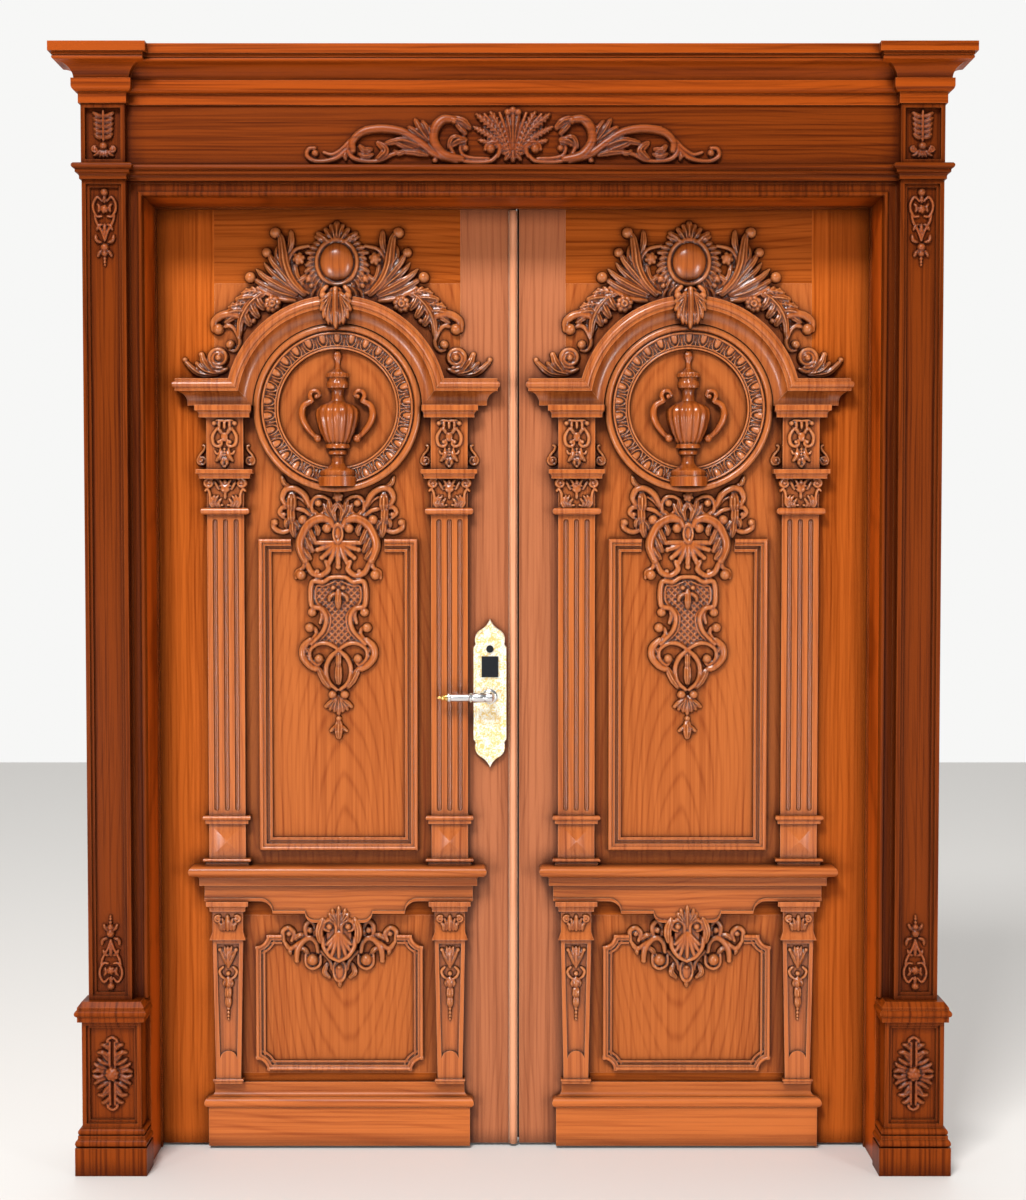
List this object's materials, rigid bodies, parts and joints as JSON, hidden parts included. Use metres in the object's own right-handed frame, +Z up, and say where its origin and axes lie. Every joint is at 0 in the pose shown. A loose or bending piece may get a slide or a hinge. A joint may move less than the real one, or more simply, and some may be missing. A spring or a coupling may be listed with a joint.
{
  "type": "double interior door with frame",
  "caption": "Carved timber double door in its casing: two hinged panelled leaves with columns, arch and urn roundel, a corniced surround, lever lock and flush bolts.",
  "frame": {"origin": "on the floor under the middle of the whole depth, on the doorway's centre line", "axes": "+Z up, +X to the right of someone facing the carved front, -Y out of the carved front, +Y the way the leaves open"},
  "size_m": [2.002, 0.3345, 2.481],
  "materials": {
    "frame_wood": "satin lacquer, dark red-brown",
    "leaf_wood": "satin lacquer, warm red-brown",
    "carved_wood": "satin lacquer, darker in the hollows",
    "hinge_brass": "brushed",
    "plate_gold": "pale gilt, speckled",
    "steel": "brushed",
    "keypad_dark": "glossy black",
    "seal_rubber": "matt black"
  },
  "bodies": {
    "frame": {"left_jamb": "frame_wood", "right_jamb": "frame_wood", "head_jamb": "frame_wood", "architrave": "frame_wood", "pilasters": "frame_wood", "plinths": "frame_wood", "impost_moulding": "frame_wood", "frieze_board": "frame_wood", "frieze_blocks": "frame_wood", "cornice": "frame_wood", "frieze_carving": "frame_wood", "frame_carvings": "frame_wood", "frame_hinges": "hinge_brass"},
    "left_leaf": {"left_hinge_stile": "leaf_wood", "left_lock_stile": "leaf_wood", "left_rails": "leaf_wood", "left_panels": "leaf_wood", "left_arch": "leaf_wood", "left_roundel": "leaf_wood", "left_urn": "carved_wood", "left_crest": "carved_wood", "left_columns": "leaf_wood", "left_column_carvings": "carved_wood", "left_panel_mouldings": "leaf_wood", "left_pendant": "carved_wood", "left_shelf": "leaf_wood", "left_herms": "leaf_wood", "left_cartouche": "carved_wood", "left_skirting": "leaf_wood", "left_hinges": "hinge_brass", "astragal": "leaf_wood", "front_escutcheon": "plate_gold", "back_escutcheon": "plate_gold", "keypad": "keypad_dark", "lock_case": "steel"},
    "right_leaf": {"right_hinge_stile": "leaf_wood", "right_lock_stile": "leaf_wood", "right_rails": "leaf_wood", "right_panels": "leaf_wood", "right_arch": "leaf_wood", "right_roundel": "leaf_wood", "right_urn": "carved_wood", "right_crest": "carved_wood", "right_columns": "leaf_wood", "right_column_carvings": "carved_wood", "right_panel_mouldings": "leaf_wood", "right_pendant": "carved_wood", "right_shelf": "leaf_wood", "right_herms": "leaf_wood", "right_cartouche": "carved_wood", "right_skirting": "leaf_wood", "right_hinges": "hinge_brass", "strike_plate": "steel", "meeting_seal": "seal_rubber"},
    "levers": {"front_lever": "steel", "back_lever": "steel"},
    "latch": {"latch_bolt": "steel"},
    "dead": {"deadbolt": "steel"},
    "top_rod": {"top_bolt": "steel"},
    "bottom_rod": {"bottom_bolt": "steel"}
  },
  "joints": [
    {"name": "left_swing", "type": "hinge", "parent": "frame", "child": "left_leaf", "pos_m": [-0.8305, 0.11475, 1], "axis": [0, 0, 1], "range_deg": [0, 100]},
    {"name": "right_swing", "type": "hinge", "parent": "frame", "child": "right_leaf", "pos_m": [0.8305, 0.11475, 1], "axis": [0, 0, -1], "range_deg": [0, 100]},
    {"name": "lever_turn", "type": "hinge", "parent": "left_leaf", "child": "levers", "pos_m": [-0.053, 0.08425, 1.049], "axis": [0, -1, 0], "range_deg": [0, 40], "stiffness_Nm_per_rad": 1.5, "springref_deg": -17.19},
    {"name": "latch_slide", "type": "slide", "parent": "left_leaf", "child": "latch", "axis": [1, 0, 0], "range_m": [0, 0.016]},
    {"name": "dead_slide", "type": "slide", "parent": "left_leaf", "child": "dead", "axis": [1, 0, 0], "range_m": [0, 0.022]},
    {"name": "top_rod_slide", "type": "slide", "parent": "right_leaf", "child": "top_rod", "axis": [0, 0, 1], "range_m": [0, 0.02]},
    {"name": "bottom_rod_slide", "type": "slide", "parent": "right_leaf", "child": "bottom_rod", "axis": [0, 0, -1], "range_m": [0, 0.018]}
  ]
}
